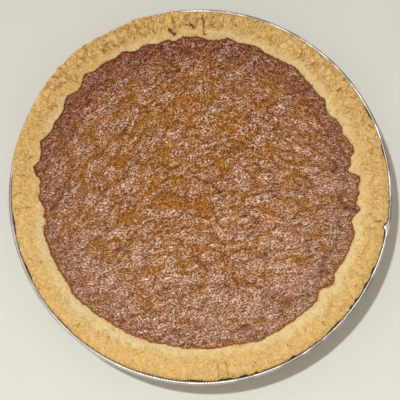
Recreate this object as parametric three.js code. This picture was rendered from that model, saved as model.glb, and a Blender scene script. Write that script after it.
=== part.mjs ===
// Sweet potato pie in its thin foil tin: a nine-inch fluted tin with a curled rim, a pastry
// case that lines it and lies on its flange, and the baked filling, nearly level with the pastry.
// Millimetres and degrees, +Z up. The origin is under the middle of the tin's flat base.
import * as THREE from 'three';

// ---- driving dimensions ---------------------------------------------------------------

const STEPS = 136; // steps round each piece; the flutes of the tin rise and fall once in two
const CLEARANCE = 0.3; // gap between tin, pastry and filling, along Z
const SIDE_CLEARANCE = 0.6; // the same gap along the radius, wider because the sides slope

const TIN = {
  rimRadius: 122.5, // outside of the curled rim
  rimTop: 30, // top of the curled rim above the table
  curl: 1.25, // half the thickness of the curled rim
  curlSides: [-90, -45, 0, 45, 90, 135], // directions of the curl's corners, from the outside
  foil: 0.6, // thickness of the wall
  baseRadius: 92, // where the fluted side rises from the base
  corner: 3, // the flat of the base ends this far inside that
  cornerRise: 1.8, // and the side starts this far above it
  shoulderRadius: 110.5, // where the fluted side meets the flange
  flangeTop: 28.1, // top of the flat flange
  flute: 0.4, // half the depth of the flutes at the flange, and twice that at the base
};

const PASTRY = {
  thickness: 4, // over the base
  edgeRadius: 119, // outer edge, just inside the curl
  crest: 35.4, // highest part of the broad edge
  crestAt: 0.66, // where the crest is, from 0 at the filling to 1 at the outer edge
  lip: 31.7, // height of the line where the pastry meets the filling
  wander: 0.4, // how far the outer edge strays from a circle
};
const OVERHANG = { from: 95, to: 174, fade: 6, reach: 2.8, ragged: 0.4 }; // over the curled rim
const BULGE = { angle: 134, reach: 1.5, half: 9 }; // it reaches furthest here
const PRESSES = { count: 33, depth: 0.5, pull: 0.02 }; // fingertip dents round the broad edge

const FILLING = {
  radius: 101.8, // mean radius of the outline
  shift: { reach: 2, angle: 147 }, // it sits off centre in the tin
  oval: { reach: 1.05, angle: 141 }, // and is slightly oval
  footRadius: 84, // where the side meets the underside
  edge: 31.9, // height at the outline
  crown: 33.4, // mean height of the top
  ring: 5.5, // the puffed ring lies this far inside the outline
  groove: { inside: 9, depth: 0.5, spread: 60 }, // and the groove inside it, deepest at +X
  swirl: 0.3, // height of the slow swirls
};
const SCALLOP_BASE = { below: 5, inside: 3.2 }; // under the lip the scallops fade to a plain oval

// Lobes of filling that push out into the pastry (+) and tongues of pastry that reach in (-):
// angle, reach and half width.
const SCALLOPS = [
  [6, 2.0, 2.8], [11, -3.0, 3.2], [18, 1.8, 3.2], [23, -1.0, 2.6], [31.5, -2.6, 3.2],
  [37, 1.0, 2.6], [53, 1.4, 5.0], [70, 1.5, 3.2], [80, 1.6, 2.6], [86, -1.6, 2.6], [91, 0.7, 2.6],
  [99, -2.4, 2.8], [106, -2.2, 3.2], [114, -1.8, 3.2], [118.5, 1.4, 2.6], [127, 1.4, 2.8], [134, 2.8, 2.8],
  [139, -1.2, 2.8], [144, 1.4, 2.6], [150, -1.8, 3.2], [157, -1.0, 2.8], [162, 2.7, 3.6], [170, 3.6, 3.2],
  [176, -1.8, 3.2], [187, -4.2, 4.4], [219, 2.5, 6.0], [257, -0.8, 5.0], [268, -0.9, 5.0],
  [281, -1.2, 5.0], [292, 1.3, 3.6], [320, -2.6, 3.2], [325.5, 1.4, 2.8], [344, 0.9, 3.2],
  [350, -3.0, 3.2], [355, 2.0, 3.0],
];

// ---- shared curves --------------------------------------------------------------------

const sine = (degrees) => Math.sin(THREE.MathUtils.degToRad(degrees));
const cosine = (degrees) => Math.cos(THREE.MathUtils.degToRad(degrees));

// Signed difference between two angles, -180 to 180.
function turnBetween(a, b) {
  return ((a - b + 540) % 360) - 180;
}

// A smooth hump of height 1 at zero that falls to about a third at x = 1.
function hump(x) {
  return Math.exp(-x * x);
}

// The oval, off centre, that the filling's outline follows.
function fillingOval(angle) {
  const { radius, shift, oval } = FILLING;
  return radius + shift.reach * cosine(angle - shift.angle) + oval.reach * cosine(2 * (angle - oval.angle));
}

// The line where the filling meets the pastry: the oval with every lobe and tongue.
function fillingOutline(angle) {
  const waves = SCALLOPS.map(([at, reach, width]) => reach * hump(turnBetween(angle, at) / width));
  return fillingOval(angle) + waves.reduce((sum, wave) => sum + wave, 0);
}

// 1 where the pastry leans over the curled rim, 0 where it stops short of it.
function overhangAt(angle) {
  const { from, to, fade } = OVERHANG;
  const rise = THREE.MathUtils.smoothstep(angle, from, from + fade);
  const fall = THREE.MathUtils.smoothstep(angle, to - fade, to);
  return rise * (1 - fall);
}

// Uneven outer edge of the pastry: slow waves, with short ones and a bulge where it hangs over
// the rim.
function pastryEdge(angle) {
  const over = overhangAt(angle);
  const slow = PASTRY.wander * (0.6 * sine(3 * angle + 57) + 0.4 * sine(7 * angle));
  const ragged = OVERHANG.ragged * (sine(29 * angle) + 0.6 * sine(46 * angle + 115));
  const bulge = BULGE.reach * hump(turnBetween(angle, BULGE.angle) / BULGE.half);
  return PASTRY.edgeRadius + (1 - over) * slow + over * (OVERHANG.reach + bulge + ragged);
}

// ---- closed bodies from a profile that changes with the angle --------------------------

// profileAt(angle, step) gives [radius, height] points from the axis underneath, outwards,
// up and back to the axis on top. The rings of points are joined into one closed body, each
// four-sided patch split along its shorter diagonal.
function turnedBody(profileAt) {
  const angles = Array.from({ length: STEPS }, (_, step) => (360 * step) / STEPS);
  const profiles = angles.map(profileAt);
  const rings = profiles[0].length - 2;
  const points = [new THREE.Vector3(0, 0, profiles[0][0][1])];
  for (let ring = 1; ring <= rings; ring += 1) {
    angles.forEach((angle, step) => {
      const [radius, height] = profiles[step][ring];
      points.push(new THREE.Vector3(radius * cosine(angle), radius * sine(angle), height));
    });
  }
  points.push(new THREE.Vector3(0, 0, profiles[0][rings + 1][1]));

  const faces = [];
  const top = points.length - 1;
  const corner = (ring, step) => 1 + (ring - 1) * STEPS + (step % STEPS);
  for (let step = 0; step < STEPS; step += 1) {
    faces.push(0, corner(1, step + 1), corner(1, step));
    for (let ring = 1; ring < rings; ring += 1) {
      const [a, b] = [corner(ring, step), corner(ring, step + 1)];
      const [c, d] = [corner(ring + 1, step + 1), corner(ring + 1, step)];
      if (points[a].distanceTo(points[c]) <= points[b].distanceTo(points[d])) {
        faces.push(a, b, c, a, c, d);
      } else {
        faces.push(a, b, d, b, c, d);
      }
    }
    faces.push(corner(rings, step), corner(rings, step + 1), top);
  }
  const geometry = new THREE.BufferGeometry().setFromPoints(points);
  geometry.setIndex(faces);
  geometry.computeVertexNormals();
  return geometry;
}

function makePiece(name, profileAt, finish) {
  const piece = new THREE.Mesh(turnedBody(profileAt), new THREE.MeshStandardMaterial(finish));
  piece.name = name;
  return piece;
}

// ---- foil tin --------------------------------------------------------------------------

// Base, fluted side, flat flange and curled rim, then back down the inside, one foil in.
function tinProfile(angle, step) {
  const { baseRadius, corner, cornerRise, shoulderRadius, flangeTop, foil } = TIN;
  const flute = step % 2 === 0 ? TIN.flute : -TIN.flute;
  const curlRadius = TIN.rimRadius - TIN.curl;
  const curlHeight = TIN.rimTop - TIN.curl;
  const curl = TIN.curlSides.map((side) => [
    curlRadius + TIN.curl * cosine(side),
    curlHeight + TIN.curl * sine(side),
  ]);
  return [
    [0, 0],
    [baseRadius - corner, 0],
    [baseRadius + flute / 2, cornerRise],
    [shoulderRadius + flute, flangeTop - foil],
    ...curl,
    [curlRadius - TIN.curl, flangeTop],
    [shoulderRadius - foil + flute, flangeTop],
    [baseRadius - foil + flute / 2, cornerRise + foil],
    [baseRadius - corner, foil],
    [0, foil],
  ];
}

// ---- pastry case -----------------------------------------------------------------------

// The pastry lines the tin, lies on its flange and rises to a broad, pressed edge, whose inner
// side slopes down to the filling. Under the filling it follows the tin at an even thickness.
function pastryProfile(angle) {
  const inner = fillingOutline(angle);
  const outer = pastryEdge(angle);
  const across = (share) => inner + share * (outer - inner);
  const over = overhangAt(angle);
  const press = 0.5 - 0.5 * cosine(PRESSES.count * angle);
  const dent = PRESSES.depth * press;
  const crest = PASTRY.crest - dent + CLEARANCE * sine(2 * angle + 115);
  const floor = TIN.foil + CLEARANCE;
  const shelf = TIN.flangeTop + CLEARANCE;
  const side = TIN.foil + TIN.flute + SIDE_CLEARANCE;
  return [
    [0, floor],
    [TIN.baseRadius - TIN.corner - SIDE_CLEARANCE, floor],
    [TIN.baseRadius - side, floor + TIN.cornerRise],
    [TIN.shoulderRadius - side, shelf],
    [PASTRY.edgeRadius - 1.2, shelf],
    [PASTRY.edgeRadius - 0.9 + 0.3 * over, shelf + 0.8 + 1.5 * over],
    [outer, shelf + 1.9 + 1.2 * over],
    [outer - 0.7, shelf + 4.2 - dent],
    [across(0.86), crest - 0.5],
    [across(PASTRY.crestAt - PRESSES.pull * press), crest],
    [across(0.34), crest - 0.9],
    [across(0.12), PASTRY.lip + 1.3],
    [inner, PASTRY.lip],
    [fillingOval(angle) - SCALLOP_BASE.inside, PASTRY.lip - SCALLOP_BASE.below],
    [FILLING.footRadius + SIDE_CLEARANCE, floor + PASTRY.thickness],
    [0, floor + PASTRY.thickness],
  ];
}

// ---- filling ---------------------------------------------------------------------------

// The top away from the edge, at a share of the oval's radius: level but for slow swirls.
function swirlPoint(angle, share) {
  const radius = share * fillingOval(angle);
  const turns = THREE.MathUtils.radToDeg(radius / 7.5);
  const wave = sine(turns + angle) + 0.6 * sine(0.6 * turns - 2 * angle + 57);
  return [radius, FILLING.crown + FILLING.swirl * wave];
}

// One solid: the side leans out against the pastry, the edge is puffed into a low ring with a
// groove inside it, and the middle is nearly level.
function fillingProfile(angle) {
  const bottom = TIN.foil + PASTRY.thickness + 2 * CLEARANCE;
  const oval = fillingOval(angle);
  const outline = fillingOutline(angle) - SIDE_CLEARANCE;
  const groove = FILLING.groove.depth * hump(turnBetween(angle, 0) / FILLING.groove.spread);
  const ring = 0.4 * outline + 0.6 * (oval - FILLING.ring);
  return [
    [0, bottom],
    [FILLING.footRadius, bottom],
    [oval - SCALLOP_BASE.inside - SIDE_CLEARANCE, PASTRY.lip - SCALLOP_BASE.below],
    [outline, FILLING.edge - 0.6],
    [outline - 0.7, FILLING.edge + 0.2],
    [ring, FILLING.crown + groove / 2],
    [oval - FILLING.groove.inside, FILLING.crown - groove],
    swirlPoint(angle, 0.8),
    swirlPoint(angle, 0.5),
    swirlPoint(angle, 0.22),
    [0, FILLING.crown],
  ];
}

// ---- the pie ---------------------------------------------------------------------------

const pie = new THREE.Group();
pie.add(
  makePiece('tin', tinProfile, { color: 0xb9bcbe, roughness: 0.35, metalness: 1 }),
  makePiece('crust', pastryProfile, { color: 0xd8ae6c, roughness: 0.8, metalness: 0 }),
  makePiece('filling', fillingProfile, { color: 0x9c6b48, roughness: 0.45, metalness: 0 }),
);

export default pie;
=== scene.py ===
import math

import bpy
import numpy as np
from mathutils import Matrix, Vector


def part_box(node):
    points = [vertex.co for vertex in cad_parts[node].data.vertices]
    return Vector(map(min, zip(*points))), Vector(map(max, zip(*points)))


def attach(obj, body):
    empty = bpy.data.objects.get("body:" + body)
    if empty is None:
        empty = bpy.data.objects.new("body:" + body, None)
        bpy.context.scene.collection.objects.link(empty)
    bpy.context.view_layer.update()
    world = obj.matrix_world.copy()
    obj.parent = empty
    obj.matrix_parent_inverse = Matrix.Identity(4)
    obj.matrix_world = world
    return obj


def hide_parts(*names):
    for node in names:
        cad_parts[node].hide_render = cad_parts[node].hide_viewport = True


# Sweet potato pie in a fluted foil tin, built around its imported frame. Shapes are worked out in
# millimetres, angles in degrees anticlockwise from +X, and each mesh is turned to metres as it is
# made. The pie looks straight up along +Z.

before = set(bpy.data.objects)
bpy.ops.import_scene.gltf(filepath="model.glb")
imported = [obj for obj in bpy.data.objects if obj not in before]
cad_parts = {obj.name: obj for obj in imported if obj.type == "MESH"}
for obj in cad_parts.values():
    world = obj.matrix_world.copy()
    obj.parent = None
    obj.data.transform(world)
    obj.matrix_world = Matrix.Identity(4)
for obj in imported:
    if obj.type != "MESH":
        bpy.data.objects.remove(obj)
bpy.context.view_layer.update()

MM = 0.001


def node_box(node):
    """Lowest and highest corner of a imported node, in millimetres."""
    return [np.array(corner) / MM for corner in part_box(node)]


_, TIN_HIGH = node_box("tin")
CRUST_LOW, CRUST_HIGH = node_box("crust")
FILLING_LOW, FILLING_HIGH = node_box("filling")

# ---- driving sizes -----------------------------------------------------------------------

RIM_RADIUS = TIN_HIGH[0]
RIM_TOP = TIN_HIGH[2]
CURL = 1.25  # half the thickness of the curled rim
CURL_START = RIM_RADIUS - 3.0  # where the flange turns into the curl
FLANGE = RIM_TOP - 1.9  # top of the flat flange
FOIL = 0.22  # its thickness
BASE_RADIUS = 92.0
BASE_RING = 70.0  # radius of the ring pressed into the flat base
SHOULDER_RADIUS = 110.5
FLUTES = 136
CRIMPS = 440  # fine pleats squeezed into the curled rim
GLINT_STRETCHES = [(232, 48, 0.9), (92, 6, 0.8)]  # stretches of the rim painted near white as a highlight: angle, half width, share

PASTRY_CREST = CRUST_HIGH[2] - 0.35
PASTRY_EDGE = RIM_RADIUS - 2.3  # outer edge of the pastry, against the curl
PASTRY_INNER = 101.0  # mean radius of its inner edge, on which its patterns are laid out
PASTRY_MIDDLE = 112.0  # mean radius of its middle
CREST_AT = 0.62  # where the crest lies across the pastry, 0 at the filling and 1 at the edge
PASTRY_PROFILE = [  # the top's smooth curve: place across, height in the measure of the crest's
    (-0.06, -1.6), (0.0, 0.0), (0.12, 1.15), (0.34, 2.35), (CREST_AT, 3.05), (0.86, 2.65), (1.0, 1.5),
]
GAPS = [  # where the pastry has shrunk from the curl: angle, half width
    (13, 2.0), (26, 3.0), (190, 3.0), (205, 2.5), (268.5, 2.8), (277.5, 2.2), (283, 1.2), (287, 0.5),
    (299, 0.8), (314.5, 2.5), (322.3, 0.7), (325, 0.8), (330, 1.2), (335.3, 1.3), (347, 2.0),
]
GAP_DEPTH = 0.75  # how far it has shrunk there
NOTCH = {"angle": 349.5, "half": 1.1, "depth": 2.0}  # a bite out of the edge, where foil shows
EDGE_BUMPS = [  # corners that stick out of the overhanging edge: angle, reach
    (98.5, 0.3), (104.5, 0.4), (110.5, 0.7), (119, 0.4), (123.7, 0.4), (127.5, 0.4), (131.5, 0.5),
    (138.2, 0.9), (142.5, 0.3), (147, 0.4), (152, 0.3), (158, -0.8), (165, 0.4),
]
BUMP_HALF = 0.9  # half width of each
OVERHANG = {"from": 95, "to": 174, "fade": 4}  # stretch that covers the curl
OVERHANG_REACH = [  # how far it goes beyond PASTRY_EDGE: angle, millimetres
    (90, 1.3), (97, 1.3), (106, 1.2), (110, 1.9), (114, 1.5), (121, 1.4), (127, 2.5), (131.5, 3.1),
    (135, 2.6), (141, 2.5), (148, 2.2), (152, 1.7), (158, 1.5), (166, 1.5), (174, 1.4),
]

FILLING_RADIUS = 101.8
FILLING_SHIFT = {"reach": 2.0, "angle": 147}  # how far it sits off centre, and which way
FILLING_OVAL = {"reach": 1.05, "angle": 141}  # how far it is stretched to an oval, and which way
FILLING_FOOT = 84.0  # radius of its hidden underside
LIP = 32.0  # height of the line where the filling meets the pastry
CROWN = FILLING_HIGH[2] - 0.7  # mean height of the filling's top
SWIRL_CENTRE = np.array([11.5, 3.0])  # a shallow dip with the open cracks

# Lobes of filling (+) and tongues of pastry (-) along that line: angle, reach, half width.
SCALLOPS = [
    (6, 2.2, 2.6), (7.8, -3.6, 1.4), (9.4, -3.2, 1.8), (13, -1.8, 2.6), (15.4, 1.9, 1.3),
    (17.5, 1.9, 2.6), (22.5, -1.1, 1.8), (31, -1.3, 2.0), (33.5, -2.0, 3.6), (37.5, 1.3, 1.8),
    (39.5, -0.9, 2.0), (53, 1.4, 5.0), (70, 1.5, 3.2), (80, 1.6, 2.4), (83, -1.0, 1.4),
    (86, -1.6, 2.6), (90.4, -1.8, 1.2), (90.8, 1.8, 1.5), (96, 0.6, 1.4), (99, 0.9, 1.4),
    (99.3, -2.9, 1.9), (106, -2.0, 2.6), (109.3, 0.8, 1.4), (114, -2.0, 3.0), (118.3, 1.8, 1.9),
    (127, 1.4, 2.6), (134, 3.0, 2.4), (139, -1.2, 2.4), (144, 1.4, 2.4), (150, -1.8, 3.0),
    (157.3, -1.2, 2.4), (162, 2.9, 3.4), (169, -2.2, 1.5), (170.2, 4.2, 2.6), (173.6, 2.1, 1.5),
    (176, -1.8, 2.8), (180, -1.6, 1.5), (181.2, 0.6, 1.4), (187.5, -4.4, 4.2), (188.4, 1.3, 1.6),
    (191.5, -1.3, 1.4), (215.5, -1.3, 3.2), (219, 2.6, 6.0), (229.5, 1.0, 4.0), (253, 0.5, 3.0),
    (257, -1.0, 5.0), (268, -0.9, 5.0), (281, -1.2, 5.0), (292, 1.3, 3.6), (320.5, -3.2, 2.8),
    (322.5, 1.1, 1.2), (325.5, 1.7, 2.2), (328.3, -1.7, 1.6), (331.5, -0.7, 2.0), (344, 0.9, 3.2),
    (349.8, -3.6, 2.8), (351, 1.2, 1.4), (354.3, 3.4, 1.9), (355.6, -2.6, 1.6), (359.2, -1.2, 1.7),
    (359.8, 1.9, 1.2),
]

HASH = (73856093, 19349663, 83492791)  # primes that scatter the cells of the noise

# ---- numbers over whole arrays -----------------------------------------------------------
# Each pattern has its own fixed seed, so every run gives the same pie.


def hump(x):
    """A smooth hump of height 1 at zero: e to the minus x squared."""
    return np.exp(-np.square(x))


def turn_between(a, b):
    """Signed difference between two angles, -180 to 180."""
    return (a - b + 540) % 360 - 180


def ease(x, low, high):
    """A smooth step, 0 below low and 1 above high: t squared times (3 - 2t)."""
    t = np.clip((x - low) / (high - low), 0, 1)
    return t * t * (3 - 2 * t)


def band(x, rise, fall):
    """1 from the end of rise to the start of fall, and eased to 0 beyond them. Each is a pair."""
    return ease(x, *rise) * (1 - ease(x, *fall))


def lattice_noise(points, seed):
    """Gradient noise at points (..., 3), about -1 to 1. Each corner of a point's unit cell holds
    a fixed random direction, dotted with the way from the corner to the point; the eight results
    are blended with the weights t cubed times (6 t squared - 15 t + 10)."""
    directions = np.random.default_rng(seed).normal(size=(512, 3))
    directions /= np.linalg.norm(directions, axis=1)[:, None]
    cell = np.floor(points).astype(np.int64)
    within = points - cell
    fade = within**3 * (within * (6 * within - 15) + 10)
    total = np.zeros(points.shape[:-1])
    for corner in np.ndindex(2, 2, 2):
        x, y, z = np.moveaxis(cell + corner, -1, 0)
        picked = directions[(x * HASH[0] ^ y * HASH[1] ^ z * HASH[2]) % 512]
        weight = np.where(corner, fade, 1 - fade).prod(axis=-1)
        total += weight * (picked * (within - corner)).sum(axis=-1)
    return 1.6 * total


def cloud(points, size, seed, octaves=3, gain=0.5):
    """Several octaves of lattice noise: each has half the size and gain times the height."""
    total = 0
    for octave in range(octaves):
        total = total + gain**octave * lattice_noise(points * 2**octave / size, seed + octave)
    return total


def sway(points, size, seeds, octaves=3):
    """A sideways shift for each point: one cloud along x and another along y."""
    x, y = (cloud(points, size, seed, octaves) for seed in seeds)
    return np.stack([x, y, 0 * x], axis=-1)


def soft_folds(noise, blunt):
    """Rounded folds parted by narrow valleys, 0 in a valley: the size of the noise, with the
    valley's bottom rounded over a stretch of about blunt."""
    return np.sqrt(noise**2 + blunt**2) - blunt


def nicks(points, lines):
    """Depth, 0 to 1, of short cracks at points (..., 3): each line has a middle x and y, a
    heading, a half length, a half width and a strength. It bows to one side as the square of the
    way along, and thins out towards its ends."""
    deepest = np.zeros(points.shape[:-1])
    for x, y, heading, half_length, half_width, strength in lines:
        turn = math.radians(heading)
        dx, dy = points[..., 0] - x, points[..., 1] - y
        along = (dx * math.cos(turn) + dy * math.sin(turn)) / half_length
        bow = 0.25 * half_length * (along**2 - 0.4)
        across = (dy * math.cos(turn) - dx * math.sin(turn) - bow) / half_width
        ends = 1 - ease(np.abs(along), 0.6, 1.0)
        deepest = np.maximum(deepest, strength * hump(across) * ends)
    return deepest


def smooth_line(at, knots, values):
    """A smooth curve through knots: cubic pieces whose slope at each knot is that of the line
    between its two neighbours."""
    knots, values = np.asarray(knots, float), np.asarray(values, float)
    slopes = np.gradient(values, knots)
    piece = np.clip(np.searchsorted(knots, at) - 1, 0, len(knots) - 2)
    width = knots[piece + 1] - knots[piece]
    t = (at - knots[piece]) / width
    rise = values[piece + 1] - values[piece]
    start = slopes[piece] * width
    end = slopes[piece + 1] * width
    square, cube = 3 * rise - 2 * start - end, start + end - 2 * rise
    return values[piece] + t * start + t**2 * square + t**3 * cube


def place(radius, angle, height):
    """Points (..., 3) from a radius, an angle and a height."""
    turn = np.radians(angle)
    x, y = radius * np.cos(turn), radius * np.sin(turn)
    return np.stack(np.broadcast_arrays(x, y, height), axis=-1)


def round_points(angle, along, across):
    """Points for noise that has no seam round the pie: angle in degrees runs on a circle of
    radius along, and across is the third coordinate."""
    return place(along, angle, across)


# ---- outlines ------------------------------------------------------------------------------


def filling_oval(angle):
    """The oval, off centre, that the filling's outline follows: two cosines on a mean radius."""
    shifted = FILLING_SHIFT["reach"] * np.cos(np.radians(angle - FILLING_SHIFT["angle"]))
    oval = FILLING_OVAL["reach"] * np.cos(2 * np.radians(angle - FILLING_OVAL["angle"]))
    return FILLING_RADIUS + shifted + oval


def fold_heading(flat):
    """Heading, in radians, of the folds in the custard's skin: a little up to the right over most
    of the pie, steep on the left where they bend round, and down to the right at the back right."""
    x, y = flat[..., 0], flat[..., 1]
    steep = ease(-x, -8, 55) * (1 - 0.85 * ease(-y, 28, 62)) * (1 - 0.45 * ease(y, 35, 70))
    falling = ease(x, 20, 60) * ease(y, -20, 30)
    rising = ease(x, 25, 65) * ease(-y, 25, 60)
    return np.radians(13 + 46 * steep - 28 * falling + 14 * rising)


def strokes(flat, size, seed, reach, octaves=2, gain=0.5):
    """Noise drawn out into strokes: its mean over nine places on the curve that follows
    fold_heading through each point, reach millimetres each way, brought back to the spread of the
    plain noise."""
    places = 4  # to each side
    plain = cloud(flat, size, seed, octaves, gain)
    total = plain
    for way in (-reach / places, reach / places):
        at = flat
        for _ in range(places):
            turn = fold_heading(at)
            at = at + way * np.stack([np.cos(turn), np.sin(turn), 0 * turn], axis=-1)
            total = total + cloud(at, size, seed, octaves, gain)
    return total * (plain.std() / total.std())


def scallop_reach(angle):
    """How far the outline strays from the oval: the listed lobes and tongues and a fine ripple."""
    reach = sum(size * hump(turn_between(angle, at) / width) for at, size, width in SCALLOPS)
    lobes = cloud(round_points(angle, 16, 0), 1.0, 11, octaves=2)
    nibbles = np.abs(cloud(round_points(angle, 34, 0), 1.0, 13, octaves=2, gain=0.6))
    return reach + 0.4 * lobes + 0.9 * (nibbles - 0.3)


def overhang_at(angle):
    """1 where the pastry leans over the curled rim, 0 where it stops short of it."""
    start, end, fade = OVERHANG["from"], OVERHANG["to"], OVERHANG["fade"]
    return band(angle, (start, start + fade), (end - fade, end))


def pastry_edge(angle):
    """Outer edge of the pastry: slow waves and a fine ripple, coarser where it overhangs, drawn
    back at the listed gaps and the notch."""
    over = overhang_at(angle)
    slow = 0.3 * cloud(round_points(angle, 4, 0), 1.0, 21)
    ragged = 0.35 * cloud(round_points(angle, 14, 0), 1.0, 23)
    fine = 0.2 * cloud(round_points(angle, 50, 0), 1.0, 25)
    gap = sum(GAP_DEPTH * hump((turn_between(angle, at) / half) ** 2) for at, half in GAPS)
    bite = hump((turn_between(angle, NOTCH["angle"]) / NOTCH["half"]) ** 2)
    gap = gap + NOTCH["depth"] * bite
    bumps = sum(size * hump(turn_between(angle, at) / BUMP_HALF) for at, size in EDGE_BUMPS)
    knots, reaches = zip(*OVERHANG_REACH)
    reach = smooth_line(np.clip(angle, knots[0], knots[-1]), knots, reaches)
    return PASTRY_EDGE + (1 - over) * (slow - gap) + fine + over * (reach + ragged) + bumps


# ---- meshes ----------------------------------------------------------------------------------


def new_piece(name, points, faces, material, stands_for):
    """Makes a smooth-shaded mesh from points in millimetres, and ties it to the frame."""
    mesh = bpy.data.meshes.new(name)
    mesh.from_pydata((points * MM).tolist(), [], faces)
    mesh.polygons.foreach_set("use_smooth", np.ones(len(mesh.polygons), bool))
    mesh.materials.append(material)
    mesh.validate()
    piece = bpy.data.objects.new(name, mesh)
    bpy.context.scene.collection.objects.link(piece)
    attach(piece, "root")
    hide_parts(stands_for)
    return piece


def paint(piece, **fields):
    """Stores numbers, one for each vertex, that the piece's material reads by name."""
    for name, values in fields.items():
        attribute = piece.data.attributes.new(name, "FLOAT", "POINT")
        attribute.data.foreach_set("value", np.asarray(values, np.float32).ravel())


def quads(rows, columns, wrap):
    """Corner indices of the quads between the rows of a grid, facing out when rows run outwards
    underneath and columns run anticlockwise."""
    index = np.arange(rows * columns).reshape(rows, columns)
    ahead = np.roll(index, -1, axis=1)
    here = index if wrap else index[:, :-1]
    ahead = ahead if wrap else index[:, 1:]
    return np.stack([here[:-1], ahead[:-1], ahead[1:], here[1:]], axis=-1).reshape(-1, 4)


def turned_mesh(radius, height, angle):
    """Points and faces of a body whose rings (rows of radius and height) run from the axis
    underneath, outwards, up and back to the axis on top. Both ends are closed by a fan."""
    rings, steps = radius.shape
    ring_points = place(radius, angle, height).reshape(-1, 3)
    bottom = np.array([[0, 0, height[0].mean()]])
    top = np.array([[0, 0, height[-1].mean()]])
    points = np.concatenate([ring_points, bottom, top])
    faces = quads(rings, steps, wrap=True).tolist()
    step = np.arange(steps)
    ahead = (step + 1) % steps
    last = (rings - 1) * steps
    low, high = rings * steps, rings * steps + 1
    faces += np.stack([np.full(steps, low), ahead, step], axis=-1).tolist()
    faces += np.stack([last + step, last + ahead, np.full(steps, high)], axis=-1).tolist()
    return points, faces


# ---- shader formulas ---------------------------------------------------------------------


class Wire:
    """A socket of a node tree. Arithmetic on it adds Math nodes, so patterns read as formulas."""

    def __init__(self, graph, socket):
        self.graph = graph
        self.socket = socket

    def math(self, operation, *others):
        """A Math node's result for this socket and the others."""
        return self.graph.node("Math", {"operation": operation}, dict(enumerate((self, *others))))

    def __add__(self, other):
        return self.math("ADD", other)

    def __radd__(self, other):
        return self.math("ADD", other)

    def __sub__(self, other):
        return self.math("SUBTRACT", other)

    def __rsub__(self, other):
        return self.graph.node("Math", {"operation": "SUBTRACT"}, {0: other, 1: self})

    def __mul__(self, other):
        return self.math("MULTIPLY", other)

    def __rmul__(self, other):
        return self.math("MULTIPLY", other)

    def away_from(self, level):
        """The distance from level."""
        return self.math("SUBTRACT", level).math("ABSOLUTE")


class Graph:
    """The node tree of one new material."""

    def __init__(self, name):
        self.material = bpy.data.materials.new(name)
        self.material.use_nodes = True
        self.tree = self.material.node_tree
        self.tree.nodes.clear()
        self.place = self.node("TexCoord", {}, {}, "Object")

    def node(self, kind, settings, sockets, output=0):
        """Adds a node: its type, its settings, which are set first, then the values or links of
        its sockets. Returns the named output."""
        made = self.tree.nodes.new("ShaderNode" + kind)
        for name, value in settings.items():
            setattr(made, name, value)
        for name, value in sockets.items():
            socket = made.inputs[name]
            if isinstance(value, Wire):
                self.tree.links.new(value.socket, socket)
            else:
                socket.default_value = value
        return Wire(self, made.outputs[output])

    def field(self, name):
        """A number stored on the mesh."""
        return self.node("Attribute", {"attribute_name": name}, {}, "Fac")

    def axis(self, name):
        """One coordinate, in metres."""
        return self.node("SeparateXYZ", {}, {0: self.place}, name)

    def vector(self, operation, *values):
        """Vector maths on places or headings."""
        return self.node("VectorMath", {"operation": operation}, dict(enumerate(values)))

    def noise(self, size, detail=3.0, roughness=0.55, distortion=0.0, place=None):
        """Noise between 0 and 1 whose blotches are about size millimetres across."""
        sockets = {
            "Vector": place or self.place, "Scale": 1 / (size * MM), "Detail": detail,
            "Roughness": roughness, "Distortion": distortion,
        }
        return self.node("TexNoise", {}, sockets, "Fac")

    def swayed(self, place, size, push):
        """place moved sideways, by a noise with blotches of size millimetres times push."""
        sockets = {"Vector": self.place, "Scale": 1 / (size * MM), "Detail": 1.0}
        bend = self.node("TexNoise", {}, sockets, "Color")
        return self.vector("MULTIPLY_ADD", bend, (push * MM,) * 3, place)

    def span(self, value, low, high, start=0.0, end=1.0):
        """value carried from low..high to start..end, smoothly, and held outside them."""
        sockets = {
            "Value": value, "From Min": low, "From Max": high, "To Min": start, "To Max": end,
        }
        return self.node("MapRange", {"interpolation_type": "SMOOTHSTEP"}, sockets)

    def mix(self, factor, a, b):
        """Colour a turned towards colour b by factor."""
        return self.node("Mix", {"data_type": "RGBA"}, {0: factor, 6: a, 7: b}, 2)

    def layered(self, base, layers):
        """base with each colour in turn laid over it, by its share."""
        for share, shade in layers:
            base = self.mix(share, base, shade)
        return base

    def bump(self, height, depth):
        """A normal that follows height, where 1 stands for depth millimetres."""
        return self.node("Bump", {}, {"Height": height, "Distance": depth * MM, "Strength": 1.0})

    def finish(self, **sockets):
        """Adds the shader and the output. Socket names are written with _ for a space."""
        named = {name.replace("_", " "): value for name, value in sockets.items()}
        shader = self.node("BsdfPrincipled", {}, named)
        output = self.tree.nodes.new("ShaderNodeOutputMaterial")
        self.tree.links.new(shader.socket, output.inputs["Surface"])
        return self.material


def colour(code):
    """A linear colour from its six-digit screen code."""
    screen = np.array([int(code[k:k + 2], 16) / 255 for k in (0, 2, 4)])
    linear = np.where(screen <= 0.04045, screen / 12.92, ((screen + 0.055) / 1.055) ** 2.4)
    return (*linear.tolist(), 1.0)


# ---- filling -----------------------------------------------------------------------------


# Open cracks and a dent in the skin: middle x and y, heading, half length, half width, strength.
CRACKS = [
    (9.0, 3.8, -50, 3.4, 0.6, 1.0), (12.5, 0.4, -15, 1.8, 1.5, 1.0), (16.5, 2.6, 25, 3.5, 0.5, 0.6),
]


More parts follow.
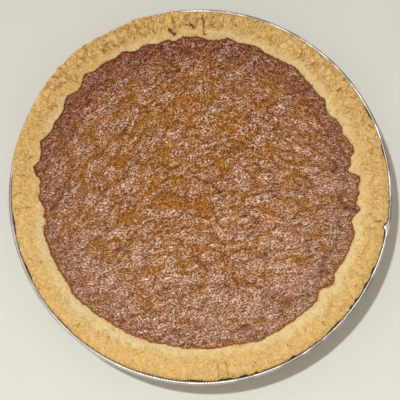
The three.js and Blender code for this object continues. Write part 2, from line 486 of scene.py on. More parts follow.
def filling_material():
    """Custard skin, fine-wrinkled and dully shiny: lilac-brown flecked scales parted by smooth ochre
    valleys, maroon along its edge. The light flecks are partly the skin's own colour and partly
    painted highlight, and its lilac areas are painted sheen. The wrinkles are noise squeezed across
    the curves on which y - lean x + bow x squared y is constant. The fields are worked out with the
    relief: scale on the raised parts; a field that pales the skin towards the front, painted sheen;
    dim, darker towards the edge, with painted shade in the valleys, the furrows and towards the
    back; a field for its lilac areas, painted sheen; wine edge; crease, the painted shade in the
    creases, the cracks and the groove inside the edge; rim line; and warm where the rim is orange,
    not maroon."""
    g = Graph("baked_custard")
    scale = g.field("scale")
    front_sheen = g.field("front_sheen")
    wine = g.field("wine")
    crease_shade = g.field("crease_shade")
    line = g.field("line")
    warm = g.field("warm")
    sheen_patch = g.field("sheen_patch")
    x, y = g.axis("X"), g.axis("Y")
    lean, bow, draw = 0.2, 60.0, 0.78
    curve = y - lean * x + bow * x * x * y
    drawn = g.node("CombineXYZ", {}, {"X": draw * (x + lean * y), "Y": curve})
    wrinkle = g.noise(
        0.84, detail=0.5, roughness=0.5, distortion=0.3, place=g.swayed(drawn, size=6, push=4.5)
    )
    fleck = g.span(wrinkle, 0.41, 0.68)
    hue = g.noise(9.0, detail=2.0)

    valley = g.mix(g.span(hue, 0.35, 0.65), colour("8e5412"), colour("884c18"))
    low = g.mix(scale, valley, colour("844c1a"))
    # The light flecks are partly the skin's own colour and partly painted highlight; on the lilac
    # areas they are painted near white as sheen.
    high = g.mix(g.span(hue, 0.4, 0.6), colour("e6ac70"), colour("e2a27a"))
    high = g.mix(scale, colour("d0903e"), g.mix(0.85 * sheen_patch, high, colour("fad2b8")))
    base = g.layered(g.mix(fleck, low, high), [
        # painted sheen: the flecks paler towards the front
        (0.5 * front_sheen * (0.2 + 0.8 * scale), g.mix(fleck, colour("a07254"), colour("fadac0"))),
        # darker towards the edge, with painted shade in the valleys, the furrows and towards the back
        (g.field("dim"), colour("4a2410")),
        (0.55 * wine, g.mix(fleck, colour("4f1e1c"), colour("96544e"))),
        # painted shade in the creases, the cracks and the groove inside the edge
        (0.85 * crease_shade, colour("522806")),
        (0.85 * line, g.mix(warm, colour("562210"), colour("96560f"))),
    ])
    gloss = (0.1 + 0.9 * scale) * (0.03 + 0.97 * fleck) * (0.4 + 0.5 * sheen_patch + 0.2 * front_sheen)
    return g.finish(
        Base_Color=base,
        Roughness=0.55,
        Specular_IOR_Level=0.05,
        Specular_Tint=(1.0, 0.85, 0.7, 1.0),
        Coat_Weight=gloss * (1 - 0.8 * crease_shade),
        Coat_Roughness=0.33,
        Normal=g.bump(wrinkle * (0.35 + 0.65 * scale), 0.2),
    )


def filling_fields(radius, angle, edge):
    """Height of the filling's top and the fields of its material. radius and edge, the outline's
    radius, are in millimetres. The relief is plates parted by valleys, with ripples and pebbles on
    them, all drawn out along fold_heading; a low ring and a groove run inside the edge, deepest on
    the right, and the top falls to the lip at the outline. far is 1 at the back."""
    flat = place(radius, angle, 0)
    away = np.linalg.norm(flat - np.append(SWIRL_CENTRE, 0), axis=-1)
    warp = sway(flat, 22, (31, 37))
    bent = flat + 3 * warp
    inside = edge - radius
    right = hump(turn_between(angle, 0) / 60)
    far = 0.3 + 0.7 * hump(turn_between(angle, 110) / 80)

    broad = 0.35 * cloud(flat, 60, 41)
    width = cloud(flat, 13, 59, octaves=2)
    streaks = strokes(bent, 13, 43, 9)
    plates = strokes(bent, 7.5, 57, 4.5, octaves=3, gain=0.45)
    folds = soft_folds(plates, 0.06)
    wavy = bent + 2.0 * sway(flat, 11, (33, 35), octaves=2)
    ripples = soft_folds(strokes(wavy, 4.6, 53, 5.5, gain=0.4), 0.06)
    pebbles = soft_folds(strokes(flat + 1.2 * warp, 3.2, 51, 2.5), 0.05)
    crack = nicks(flat, CRACKS)

    ring = 0.45 * hump((inside - 5) / 3)
    ring = ring - (0.3 + 0.4 * right) * hump((inside - 10 - 2 * right) / 2.2)
    top = CROWN - 0.75 + broad + 0.3 * streaks + 1.0 * folds + 0.7 * ease(folds, 0.0, 0.18)
    top = top + 1.25 * ripples + 0.25 * pebbles + ring * ease(radius, 40, 80)
    top = top - 0.5 * hump(away / 6) - 0.7 * crack
    fall = (CROWN - LIP) * (1 - ease(inside, -0.6, 3.2)) ** 1.5
    top = top - fall - 1.2 * ease(-inside, 0, 0.8)

    spread = folds + 0.16 * width + 0.12 * streaks + 0.1 * ease(radius, 45, 95)
    scale = ease(spread, -0.06, 0.28)
    # Lilac areas: painted sheen, with more gloss.
    sheen_patch = ease(strokes(bent, 8, 45, 5), -0.25, 0.3)
    # Paler towards the front, at -Y: painted sheen, which also adds gloss there and darkens the back
    # through dim.
    front_sheen = ease(0.2 * flat[..., 0] - flat[..., 1] + 14 * streaks, -70, 90)
    wine = (1 - ease(inside + 4 * streaks, 2, 10 + 18 * far)) * far
    # Dark lines along the creases between plates and ripples, in the cracks and in the groove inside
    # the right edge: painted shade.
    plate_line = (1 - ease(np.abs(plates), 0.0, 0.07)) * ease(width, -0.3, 0.3)
    ripple_line = (1 - ease(ripples, 0.0, 0.1)) * (0.35 + 0.65 * ease(width, -0.3, 0.4))
    trench = 0.5 * ease(right, 0.3, 0.8) * hump((inside - 9.5 - 1.2 * width) / 1.3)
    crease_shade = np.clip(np.maximum(0.7 * plate_line, crack) + 0.5 * ripple_line + trench, 0, 1)
    line = 1 - ease(inside, 0.2, 1.7)
    warm = 1 - hump(turn_between(angle, 132) / 75) ** 0.7
    # dim: darker towards the edge, and painted shade in the valleys, in the furrows between ripples
    # and towards the back.
    furrow = 1 - ease(ripples, 0.0, 0.22)
    dim = 0.02 * (1 - front_sheen) + 0.1 * ease(radius, 40, 85) + 0.08 * (1 - scale) + 0.07 * furrow
    return top, {
        "scale": scale, "wine": wine, "crease_shade": crease_shade, "line": line, "warm": warm, "front_sheen": front_sheen,
        "sheen_patch": sheen_patch, "dim": dim,
    }


def make_filling():
    """The filling's skin is a square grid laid over its outline: the larger of |u| and |v| is the
    share of the way out, and the other coordinate turns round the side. The outline's lobes fade
    inwards as the tenth power of that share. Below the outline a side wall and a flat underside
    close it."""
    count = 306
    overlap = 0.7  # how far the skin runs in under the pastry
    side = np.linspace(-1, 1, count)
    u, v = np.meshgrid(side, side)
    share = np.maximum(np.abs(u), np.abs(v))
    wide = np.abs(u) >= np.abs(v)
    ratio = np.where(wide, v / np.where(u == 0, 1, u), u / np.where(v == 0, 1, v))
    angle = np.where(wide, 45 * ratio + 180 * (u < 0), 90 - 45 * ratio + 180 * (v < 0)) % 360
    edge = filling_oval(angle) + scallop_reach(angle)
    radius = share * (filling_oval(angle) + overlap) + share**10 * scallop_reach(angle)
    height, fields = filling_fields(radius, angle, edge)
    points = place(radius, angle, height).reshape(-1, 3)
    faces = quads(count, count, wrap=False)

    index = np.arange(count * count).reshape(count, count)
    loop = np.concatenate([index[0, :-1], index[:-1, -1], index[-1, :0:-1], index[:0:-1, 0]])
    size = len(loop)
    turn = angle.ravel()[loop]
    low = FILLING_LOW[2]
    wall = place(filling_oval(turn) - 3, turn, LIP - 5)
    foot = place(FILLING_FOOT, turn, low)
    middle = np.array([[0, 0, low]])
    start = count * count
    rows = [loop, start + np.arange(size), start + size + np.arange(size)]
    skirt = []
    for upper, lower in zip(rows[:-1], rows[1:]):
        skirt.append(np.stack([upper, lower, np.roll(lower, -1), np.roll(upper, -1)], axis=-1))
    fan = np.stack([rows[2], np.full(size, start + 2 * size), np.roll(rows[2], -1)], axis=-1)
    points = np.concatenate([points, wall, foot, middle])
    faces = faces.tolist() + np.concatenate(skirt).tolist() + fan.tolist()
    filling = new_piece("custard", points, faces, filling_material(), "filling")
    below = len(points) - start
    hidden = {"wine": 1.0, "line": 1.0, "warm": 0.5}
    paint(filling, **{
        name: np.concatenate([values.ravel(), np.full(below, hidden.get(name, 0.0))])
        for name, values in fields.items()
    })
    return filling


# ---- pastry ------------------------------------------------------------------------------


def pastry_material():
    """Baked pastry: creamy and smooth next to the filling, golden and finely cracked further out,
    amber at its edge. The cracks part small cells, which are stretched outwards at the back left:
    lie is the way outwards in the cells' own measure. The grooves and the valleys of the curls
    are darkened as painted shade, and the crowns of the curls lightened as painted highlight."""
    g = Graph("baked_pastry")
    across = g.field("across")
    groove_shade = g.field("groove_shade")
    toast = g.field("toast")
    rough = g.field("rough")
    stain = g.field("stain")
    splash = g.field("splash")
    crack = g.field("crack")
    heading = g.vector("NORMALIZE", g.vector("MULTIPLY", g.place, (1, 1, 0)))
    rise = g.node("CombineXYZ", {}, {"Z": g.field("lie")})
    spread = g.vector("MULTIPLY_ADD", heading, (PASTRY_MIDDLE * MM,) * 3, rise)
    bent = g.swayed(spread, size=5, push=3.8)
    cell = {"Vector": bent, "Scale": 1 / (3.0 * MM)}
    seam = g.node("TexVoronoi", {"feature": "DISTANCE_TO_EDGE"}, cell, "Distance")
    broken = g.span(g.noise(4.5, detail=2.0), 0.45, 0.6)
    hairline = (1 - g.span(seam, 0.0, 0.2)) * broken * rough
    curl = g.noise(2.9, detail=0.9, distortion=0.6, place=bent).away_from(0.5)
    faint = g.span(g.noise(3.0, detail=1.0), 0.4, 0.5)
    # The curls' valleys are darkened as painted shade.
    curl_shade = (1 - g.span(curl, 0.0, 0.038)) * faint * (0.4 + 0.6 * rough)
    blotch = g.noise(5.0, detail=3.0)
    hue = g.noise(7.0, detail=2.5)
    spot = g.noise(2.6, detail=2.0)
    fine = g.noise(0.9, detail=1.0)

    golden = g.field("golden")
    amber = g.span(across + 0.5 * (blotch - 0.5), 0.74, 1.08)
    grain = 0.35 + 0.4 * rough
    base = g.layered(g.mix(golden, colour("edd398"), colour("ebc173")), [
        (0.4 * amber, colour("e2ac54")),
        (g.span(hue, 0.5, 0.7, 0.0, 0.4), colour("e8b884")),  # pinker blotches
        (g.span(hue, 0.3, 0.48, 0.45, 0.0), colour("d9b85e")),  # yellower blotches
        (g.span(spot, 0.5, 0.68, 0.0, 0.3), colour("f0d49a")),
        (g.span(spot, 0.32, 0.48, 0.15, 0.0), colour("cf9c50")),
        (0.4 * toast, colour("d09a4c")),
        (g.span(fine, 0.34, 0.52, 0.36, 0.0) * grain, colour("b98438")),  # dark grains
        (g.span(fine, 0.5, 0.66, 0.0, 0.36) * grain, colour("f6dcae")),  # light grains
        # painted shade in the folds' valleys, along the arcs of the pressed flats and in the nicks
        (0.85 * groove_shade, colour("a06824")),
        # painted shade in the valleys of the curls
        (0.95 * curl_shade, colour("a4681c")),
        (g.span(curl, 0.08, 0.2, 0.0, 0.35) * rough, colour("f2d8a0")),  # painted highlight on the crowns of the curls
        (0.5 * hairline, colour("a06a26")),
        (0.9 * crack, colour("70420f")),
        (g.span(across, 0.97, 1.04, 0.0, 0.1), colour("a07a3a")),  # outermost edge
        (stain, colour("bc7a1c")),
        (splash, colour("672c16")),
    ])
    height = 0.3 * g.span(seam, 0.0, 0.5) * rough + 0.25 * spot + 0.4 * blotch - 0.8 * crack
    height = height + g.span(curl, 0.0, 0.18) * (0.3 + 0.7 * rough)
    return g.finish(
        Base_Color=base,
        Roughness=0.72,
        Specular_IOR_Level=0.25,
        Normal=g.bump(height, 0.45),
    )


# Flats pressed round the edge: how many, half width in degrees, depth, and start across the pastry.
PRESSES = {"count": 33, "half": 4.3, "depth": 0.45, "inner": 0.36}
GROOVES = [  # radial nicks: angle, inner and outer end across the pastry, half width, depth
    (138.2, 0.3, 1.05, 0.5, 0.8), (275.6, 0.42, 1.0, 0.45, 0.6), (278.4, 0.42, 1.0, 0.45, 0.65),
    (99.0, 0.3, 0.9, 0.4, 0.5), (185.2, 0.3, 0.95, 0.45, 0.6), (174.8, 0.25, 0.9, 0.45, 0.5),
    (180.4, 0.45, 0.8, 0.5, 0.35), (128.0, 0.6, 1.05, 0.6, 0.5), (111.0, 0.4, 1.0, 0.5, 0.5),
]
STAINS = [  # caramel where the filling ran onto the pastry: angle, half width, reach, strength
    (181, 1.2, 2.8, 0.9), (187.5, 2.2, 1.3, 0.8), (192, 2.0, 1.2, 0.6), (283.5, 2.2, 2.2, 0.75),
    (266, 3.0, 0.8, 0.6), (299, 2.5, 0.8, 0.6), (318, 3.0, 1.4, 0.75), (324, 2.0, 1.6, 0.75),
    (357, 3.5, 1.2, 0.8), (3, 2.5, 1.6, 0.6), (21, 3.0, 1.6, 0.4), (335, 3.0, 0.9, 0.6),
]
SPLASHES = [  # dark streaks of filling: middle x and y, heading, half length, half width, strength
    (-18.4, 105.4, -46, 3.4, 1.0, 0.95), (-20.0, 107.2, -80, 1.2, 0.6, 0.9),
    (1.4, 111.6, 91, 6.6, 0.45, 0.85), (2.6, 105.2, -60, 2.2, 0.8, 0.8),
    (-5.0, 109.2, -38, 3.2, 0.8, 0.8), (-8.6, 110.6, 12, 2.2, 0.5, 0.6),
    (9.5, 108.6, -12, 6.0, 0.35, 0.45), (-6.0, 107.9, 4, 4.4, 0.35, 0.5),
    (8.3, 115.0, 70, 0.9, 0.5, 0.8), (7.4, 110.4, 20, 0.9, 0.5, 0.55),
    (-6.8, 111.6, 60, 1.2, 0.4, 0.5), (-18.0, 105.4, -60, 3.2, 2.0, 0.45),
    (-4.6, 109.6, 10, 3.4, 1.7, 0.28), (1.8, 109.5, 95, 3.6, 1.8, 0.28),
    (7.0, 111.4, 30, 2.4, 1.3, 0.3), (-11.0, 112.0, 80, 2.4, 1.2, 0.22),
    (-1.4, 113.6, 90, 2.0, 1.0, 0.3),
]
CLEFTS = [  # sharp cracks, written the same way
    (-17.6, 112.8, -72, 4.0, 0.35, 0.75), (112.8, -19.0, 3, 3.0, 0.4, 0.9),
    (-9.6, 113.0, 86, 2.6, 0.3, 0.6), (103.4, 22.0, 60, 1.6, 0.45, 0.5),
    (-2.2, 113.5, 100, 2.2, 0.3, 0.55), (14.5, 110.5, 78, 2.6, 0.3, 0.5),
    (-79.0, 76.5, 150, 2.6, 0.35, 0.6), (-82.0, 72.6, -160, 2.4, 0.35, 0.6),
    (20.6, 112.0, 100, 2.4, 0.3, 0.45),
]
STREWN = {"count": 90, "from": 107, "to": 118}  # small cracks between two radii
FLAPS = [  # cream tongues of pastry bent up against the filling, written as SPLASHES are
    (-6.1, 105.9, -4, 5.6, 1.7, 1.0), (9.4, 105.6, -10, 8.4, 2.2, 1.0),
    (-22.0, 103.4, 14, 7.0, 1.6, 0.7),
]
CREAM_WIDTHS = [  # how far the pale band beside the filling reaches: angle, millimetres
    (0, 4.5), (12, 3.0), (25, 4.0), (45, 4.6), (60, 4.4), (72, 3.6), (84, 4.0), (91, 1.0), (96, 2.6),
    (103, 2.0), (113, 4.0), (122, 2.0), (134, 0.8), (143, 2.0), (151, 5.0), (160, 1.5), (171, 1.5),
    (180, 2.0), (188, 5.5), (205, 6.5), (225, 8.0), (245, 7.0), (262, 5.0), (276, 4.0), (290, 5.0),
    (307, 7.0), (322, 7.0), (337, 5.0), (350, 4.5), (360, 4.5),
]


def strewn_cracks():
    """Short cracks strewn over the pastry, seeded: most point outwards within 30 degrees, and they
    crowd at the back and on the right."""
    rng = np.random.default_rng(29)
    back, right = 105, 20
    lines = []
    while len(lines) < STREWN["count"]:
        angle = rng.uniform(0, 360)
        crowd = 0.3 + 0.7 * hump(turn_between(angle, back) / 50)
        crowd = crowd + 0.4 * hump(turn_between(angle, right) / 40)
        if rng.uniform() > crowd:
            continue
        x, y, _ = place(rng.uniform(STREWN["from"], STREWN["to"]), angle, 0)
        heading = angle + rng.normal(0, 30)
        half_length, half_width = rng.uniform(0.9, 2.4), rng.uniform(0.25, 0.4)
        lines.append((x, y, heading, half_length, half_width, rng.uniform(0.35, 0.9)))
    return lines


def pressed_flats(across, angle):
    """How deep the flats are pressed, and the line of the arc that bounds each on its inner side:
    seeded steps across the pastry, PRESSES["half"] degrees to each side, that start further out
    as the square of the way from the flat's middle."""
    rng = np.random.default_rng(5)
    press = np.zeros_like(across)
    arc = np.zeros_like(across)
    for number in range(PRESSES["count"]):
        at = (number + rng.uniform(-0.25, 0.25)) * 360 / PRESSES["count"]
        depth = rng.uniform(0.2, 1.0)
        bow = turn_between(angle, at) / (PRESSES["half"] * rng.uniform(0.8, 1.15))
        start = PRESSES["inner"] + rng.uniform(-0.08, 0.1) + 0.2 * bow**2
        beside = 1 - ease(np.abs(bow), 0.65, 1.1)
        press += depth * ease(across, start, start + 0.12) * beside
        arc += depth * hump((across - start - 0.03) / 0.035) * beside
    return press, arc


def radial_nicks(across, angle, crown_radius, bend):
    """Depth of the listed radial nicks, each a hump as wide as listed, shifted by bend."""
    nick = np.zeros_like(across)
    for at, start, end, half, depth in GROOVES:
        beside = turn_between(angle, at) * math.pi / 180 * crown_radius + bend
        within = band(across, (start, start + 0.12), (end - 0.05, end + 0.1))
        nick += depth * hump(beside / half) * within
    return nick


def pastry_fields(across, outward, angle, radius):
    """Relief of the pastry's top in millimetres and the fields of its material. across runs from
    0 at the filling to 1 at the outer edge, and outward is the same in millimetres. The relief is
    soft folds that point outwards at the back left, crinkles and lumps, with the pressed flats,
    the nicks and the cracks cut into it. fan is 1 at the back left and back is 1 at the back."""
    where = place(radius, angle, 0)
    crown = place(PASTRY_INNER + outward, angle, 0)
    outer = ease(across, 0.15, 0.45)
    fan = hump(turn_between(angle, 122) / 54)
    back = hump(turn_between(angle, 75) / 85)
    rough = np.clip(0.4 + 0.6 * back + 0.2 * fan, 0, 1) * (0.2 + 0.8 * outer)
    lie = outward * (1.05 - 0.6 * fan)

    warp = sway(crown, 9, (61, 62))
    radial = round_points(angle, 108 / 2.2, outward / 6.0) + 0.35 * warp
    folds = soft_folds(cloud(radial, 1.0, 63, octaves=2), 0.08)
    crinkle = soft_folds(cloud(crown + 1.5 * warp, 3.4, 67, octaves=2, gain=0.5), 0.05)
    lumps = cloud(crown, 6.5, 69, octaves=2)
    slow = cloud(crown, 22, 71, octaves=2)
    press, arc = pressed_flats(across, angle)
    nick = radial_nicks(across, angle, PASTRY_INNER + outward, 0.5 * slow)
    crack = nicks(where, strewn_cracks() + CLEFTS)
    flap = nicks(where, FLAPS)

    relief = 1.5 * fan * outer * (folds - 0.2) + 0.4 * (0.3 + 0.7 * rough) * (crinkle - 0.25)
    relief = relief + 0.3 * (0.3 + 0.7 * outer) * lumps + 0.3 * slow
    relief = relief - PRESSES["depth"] * press - nick - 0.35 * crack + 0.7 * flap
    cream = smooth_line(angle, *zip(*CREAM_WIDTHS))
    golden = ease(outward - cream + 2.0 * cloud(crown, 5, 73, octaves=3), -2.0, 2.2)
    golden = golden * (1 - flap)
    # Darkened valleys of the folds, arcs of the pressed flats and nicks: painted shade.
    fold_line = (1 - ease(folds, 0.0, 0.075)) * fan * outer * ease(lumps, -0.6, 0.2)
    groove_shade = np.clip(0.9 * fold_line + 0.35 * arc + 1.4 * nick, 0, 1)
    toast = 0.2 * hump(turn_between(angle, 125) / 45)
    toast = (toast + 0.15 * np.maximum(slow, 0) * outer) * (0.2 + 0.8 * golden)

    stain = np.zeros_like(across)
    for at, half, reach, strength in STAINS:
        spot = hump(turn_between(angle, at) / half) * hump(outward / reach)
        stain = np.maximum(stain, strength * np.clip(spot * (1 + 0.6 * lumps), 0, 1))
    stain = np.maximum(stain, 0.45 * (1 - ease(outward, 0.0, 0.7)))
    spilt = where + 1.1 * sway(where, 2.4, (75, 77), octaves=2)
    splash = ease(nicks(spilt, SPLASHES) + 0.3 * (crinkle - 0.3), 0.02, 0.75)
    return relief, {
        "across": across, "groove_shade": groove_shade, "toast": np.clip(toast, 0, 1), "rough": rough,
        "stain": stain, "splash": splash, "crack": crack, "lie": lie * MM, "golden": golden,
    }


def make_crust():
    """The pastry is turned rings: the hidden case under the filling and along the tin, a rounded
    outer edge, and a broad top that is a smooth curve across plus the relief."""
    steps, top_rings, edge_rings = 1320, 51, 12
    angle = np.arange(steps) * 360 / steps
    inner = filling_oval(angle) + scallop_reach(angle)
    outer = pastry_edge(angle)
    over = overhang_at(angle)
    floor, case = CRUST_LOW[2], 4.0  # the pastry's underside, and its thickness there
    core, well = 45.0, FILLING_FOOT + 0.5  # radii of the inmost ring and of the case's inner foot
    gap = 0.5  # between pastry and foil
    shelf = FLANGE + 0.1

    def ring(radius, height):
        return np.full(steps, radius), np.full(steps, height)

    hidden_low = [
        ring(core, floor), ring(BASE_RADIUS - 4, floor), ring(BASE_RADIUS - gap - 1, floor + 2.4),
        ring(SHOULDER_RADIUS - gap - 1.4, shelf - 1), ring(SHOULDER_RADIUS + 1, shelf),
        ring(PASTRY_EDGE - 1.6, shelf),
    ]
    across = np.linspace(0.95, -0.04, top_rings)[:, None] * np.ones(steps)
    width = outer - inner
    knots, rises = zip(*PASTRY_PROFILE)
    shape = smooth_line(across, knots, rises) / max(rises)
    turn = np.broadcast_to(angle, across.shape)
    relief, fields = pastry_fields(across, across * width, turn, inner + across * width)
    settle = ease(across, -0.02, 0.1) * (1 - 0.3 * ease(across, 0.88, 1.0))
    top_height = LIP + shape * (PASTRY_CREST - LIP) + relief * settle
    top = [(inner + a * width, h) for a, h in zip(across, top_height)]

    flake = place(outer, angle, 0)
    high = top_height[0]
    low = shelf + 0.5 + 1.9 * over + 0.4 * cloud(flake, 5, 81)
    depth = (1 - across[0]) * width
    edge = []
    for lean in np.radians(np.linspace(-80, 70, edge_rings)):
        height = (high + low) / 2 + (high - low) / 2 * math.sin(lean)
        layers = 0.28 * cloud(np.stack([flake[:, 0], flake[:, 1], 2.4 * height], axis=-1), 3.0, 83)
        edge.append((outer - depth * (1 - math.cos(lean)) + layers, height))
    hidden_high = [
        (inner - 1.6, np.full(steps, LIP - 3)), ring(well, floor + case), ring(core, floor + case),
    ]
    rings = hidden_low + edge + top + hidden_high
    radius = np.array([row[0] for row in rings])
    height = np.array([row[1] for row in rings])
    points, faces = turned_mesh(radius, height, angle)
    crust = new_piece("pastry", points, faces, pastry_material(), "crust")

    plain = {name: 0.0 for name in fields}
    side = plain | {"across": 0.9, "golden": 1.0, "rough": 0.7}
    low_rows, high_rows = len(hidden_low) * steps, len(hidden_high) * steps
    paint(crust, **{
        name: np.concatenate([
            np.full(low_rows, plain[name]), np.full(len(edge) * steps, side[name]), values.ravel(),
            np.full(high_rows + 2, plain[name]),
        ])
        for name, values in fields.items() if name != "lie"
    })
    drop = np.array([high - height for _, height in edge])
    lie = np.concatenate([fields["lie"][0] + drop * MM, fields["lie"]]).ravel()
    paint(crust, lie=np.concatenate([np.zeros(low_rows), lie, np.zeros(high_rows + 2)]))
    return crust


# ---- tin -----------------------------------------------------------------------------------


def foil_material():
    """Bright rolled foil: grey metal with soft creases and a faint grain. upper is 1 on the flange
    and the curl, where the foil is smeared and its colour is broken into light and dark stretches
    as painted reflection, apart from the stretches painted near white as a highlight. The curl's
    crimps are a sine of the angle round the tin, as deep as pinch says."""
    g = Graph("rolled_foil")
    upper = g.field("upper")
    crinkle = g.noise(4.0, detail=4.0, roughness=0.6)
    grain = g.noise(0.7, detail=2.0)
    smudge_and_glare = g.noise(14.0, detail=2.0)
    # The curl's colour broken into light and dark stretches: painted reflection.
    rim = g.mix(g.span(smudge_and_glare, 0.42, 0.58), colour("cfccc9"), colour("9a9692"))
    # painted highlight: stretches of the rim made near white
    rim = g.mix(g.field("rim_glint"), rim, colour("f0eeec"))
    wall = g.mix(g.span(smudge_and_glare, 0.35, 0.7), colour("e2e0de"), colour("d2d0ce"))
    turn = g.axis("Y").math("ARCTAN2", g.axis("X"))
    crimp = (CRIMPS * turn).math("SINE") * g.field("pinch")
    return g.finish(
        Base_Color=g.mix(upper, wall, rim),
        Metallic=1.0,
        Roughness=0.22 + 0.14 * smudge_and_glare + 0.17 * upper,
        Normal=g.bump(crinkle + 0.15 * grain + crimp, 0.25),
    )


def tin_line():
    """The foil's middle line from the axis outwards: flat base, corner arc, straight side, flange
    and a curl that rolls over and under. Rows of radius and height."""
    corner = 3.0
    low = FOIL / 2
    lean = math.atan2(FLANGE, SHOULDER_RADIUS - BASE_RADIUS)
    ring = [BASE_RING + step for step in (-5, -1, 0, 1, 5)]
    base = [(r, low) for r in (20, 45, *ring, 85, BASE_RADIUS - corner)]
    bends = np.linspace(-math.pi / 2, -math.pi / 2 + lean, 6)[1:]
    arc = [
        (BASE_RADIUS - corner + corner * math.cos(bend), low + corner + corner * math.sin(bend))
        for bend in bends
    ]
    foot = np.array(arc[-1])
    head = np.array([SHOULDER_RADIUS, FLANGE - 0.8])
    side = [tuple(foot + share * (head - foot)) for share in np.linspace(0.06, 1, 14)]
    drops = ((0.5, 0.3), (1.2, 0.1), (4, 0.1), (7, 0.1))
    flange = [(SHOULDER_RADIUS + out, FLANGE - drop) for out, drop in drops]
    centre = RIM_RADIUS - CURL
    reach = CURL - FOIL / 2
    rolls = np.radians(np.linspace(205, -150, 16))
    curl = [(centre + reach * math.cos(a), RIM_TOP - CURL + reach * math.sin(a)) for a in rolls]
    return np.array(base + arc + side + flange + curl)


def make_tin():
    """The tin is the foil's middle line carried round the axis, with flutes in its side, slow
    dents, and a tab of the curl folded in over the pastry's notch. It is offset by half the foil
    to each side and joined at the curl's end."""
    steps = 7 * FLUTES
    line = tin_line()
    angle = np.arange(steps) * 360 / steps
    way = np.gradient(line, axis=0)
    way /= np.linalg.norm(way, axis=1)[:, None]
    outward = np.stack([way[:, 1], -way[:, 0]], axis=-1)
    radius = np.repeat(line[:, :1], steps, axis=1)
    height = np.repeat(line[:, 1:], steps, axis=1)
    turn = np.broadcast_to(angle, radius.shape)

    shoulder_end = (SHOULDER_RADIUS - 0.5, SHOULDER_RADIUS + 3)
    on_side = band(radius, (BASE_RADIUS - 3, BASE_RADIUS + 4), shoulder_end)
    shoulder_start = (SHOULDER_RADIUS - 1, SHOULDER_RADIUS + 2)
    on_flange = band(radius, shoulder_start, (CURL_START - 1, CURL_START + 0.8))
    on_curl = ease(radius, CURL_START, CURL_START + 1)
    uneven = 0.7 + 0.5 * cloud(round_points(turn, 20, height / 30), 1.0, 91)
    drift = 0.8 * cloud(round_points(turn, 6, 0 * height), 1.0, 93)
    flute = np.cos(np.radians(FLUTES * turn) + drift)
    flute = np.sign(flute) * np.abs(flute) ** 0.7
    push = 0.55 * uneven * flute * on_side
    lift = 0.1 * uneven * flute * on_flange
    stretch = 0.1 + 0.9 * hump(turn_between(turn, 205) / 45)
    pinch = on_curl * stretch * (0.8 + 0.4 * cloud(round_points(turn, 9, 0 * height), 1.0, 95))
    dents = 0.3 * cloud(place(radius, turn, height), 35, 97) * ease(radius, 95, 112)
    dents = dents * (1 - ease(radius, CURL_START, CURL_START + 1.5))
    ring = 0.5 * hump((radius - BASE_RING) / 1.6)
    at_notch = turn_between(turn, NOTCH["angle"])
    tab = hump(at_notch / 0.9) * on_curl * (1 - ease(radius, CURL_START + 1.3, CURL_START + 2.1))
    sides = []
    for half in (FOIL / 2, -FOIL / 2):
        moved_r = radius + outward[:, :1] * (half + push) + 0.4 * dents - 2.0 * tab
        moved_z = height + outward[:, 1:] * (half + push) + lift + 0.5 * dents + ring + 0.8 * tab
        sides.append((moved_r, moved_z))
    (outer_r, outer_z), (inner_r, inner_z) = sides
    radius = np.concatenate([outer_r, inner_r[::-1]])
    height = np.maximum(np.concatenate([outer_z, inner_z[::-1]]), 0)
    points, faces = turned_mesh(radius, height, angle)
    tin = new_piece("foil_tin", points, faces, foil_material(), "tin")

    # Where the rim is painted near white as a highlight, and at the notch.
    rim_glint = sum(share * hump(turn_between(turn, at) / half) for at, half, share in GLINT_STRETCHES)
    rim_glint = np.maximum(rim_glint, hump(at_notch / 1.2))
    fields = {"pinch": pinch, "upper": np.maximum(on_flange, on_curl), "rim_glint": rim_glint}
    paint(tin, **{
        name: np.concatenate([values.ravel(), values[::-1].ravel(), [0.0, 0.0]])
        for name, values in fields.items()
    })
    return tin


# ---- room, light and camera ----------------------------------------------------------------


def make_floor():
    """A plain pale floor, level with the bottom of the pie."""
    g = Graph("pale_floor")
    blotch = g.noise(90, detail=2.0)
    base = g.mix(g.span(blotch, 0.3, 0.7), colour("e4e1d7"), colour("e2dfd5"))
    material = g.finish(Base_Color=base, Roughness=0.7)
    half = 3.0
    mesh = bpy.data.meshes.new("floor")
    corners = [(-half, -half, 0), (half, -half, 0), (half, half, 0), (-half, half, 0)]
    mesh.from_pydata(corners, [], [(0, 1, 2, 3)])
    mesh.materials.append(material)
    floor = bpy.data.objects.new("floor", mesh)
    bpy.context.scene.collection.objects.link(floor)


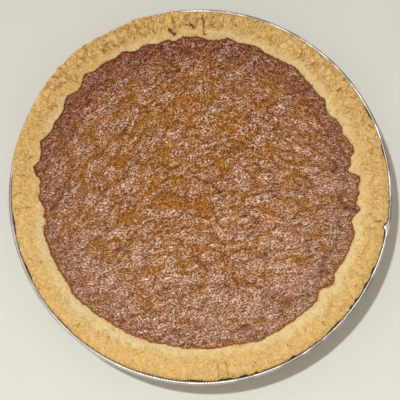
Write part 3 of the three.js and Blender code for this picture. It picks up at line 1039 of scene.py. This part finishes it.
def aim(thing, position, target):
    """Puts a lamp or camera at position and turns it to target, both in metres."""
    thing.location = position
    thing.rotation_euler = (Vector(target) - Vector(position)).to_track_quat("-Z", "Y").to_euler()


def make_light():
    """A soft round lamp far away, brightest a little in front of the pie and fading evenly."""
    light = bpy.data.lights.new("key_light", "SPOT")
    light.shadow_soft_size = 0.225
    light.spot_size = math.radians(12.6)
    light.spot_blend = 1.0
    light.energy = 2980
    light.color = (0.86, 0.89, 0.96)
    lamp = bpy.data.objects.new("key_light", light)
    bpy.context.scene.collection.objects.link(lamp)
    aim(lamp, (-2.36, 0.85, 10.0), (0.0, -0.56, 0))


def make_world():
    """Soft light from all round: dim near the horizon and brighter overhead."""
    dim, bright = 0.4, 0.54
    world = bpy.data.worlds.new("room")
    world.use_nodes = True
    tree = world.node_tree
    where = tree.nodes.new("ShaderNodeTexCoord")
    split = tree.nodes.new("ShaderNodeSeparateXYZ")
    ramp = tree.nodes.new("ShaderNodeMapRange")
    ramp.inputs["To Min"].default_value = dim
    ramp.inputs["To Max"].default_value = bright
    background = tree.nodes["Background"]
    background.inputs["Color"].default_value = (1.0, 0.94, 0.82, 1)
    tree.links.new(where.outputs["Generated"], split.inputs["Vector"])
    tree.links.new(split.outputs["Z"], ramp.inputs["Value"])
    tree.links.new(ramp.outputs["Result"], background.inputs["Strength"])
    bpy.context.scene.world = world


def make_camera():
    """A camera almost straight above, leaning a little towards -Y."""
    elevation, distance = math.radians(78.78), 1.2138
    target = Vector((-0.0003, -0.0043, 0.03))
    offset = Vector((0, -math.cos(elevation), math.sin(elevation))) * distance
    lens = bpy.data.cameras.new("camera")
    lens.sensor_fit = "HORIZONTAL"
    lens.angle = math.radians(12)
    camera = bpy.data.objects.new("camera", lens)
    bpy.context.scene.collection.objects.link(camera)
    aim(camera, target + offset, target)
    bpy.context.scene.camera = camera


make_tin()
make_crust()
make_filling()
make_floor()
make_light()
make_world()
make_camera()
bpy.context.scene.view_settings.view_transform = "Standard"
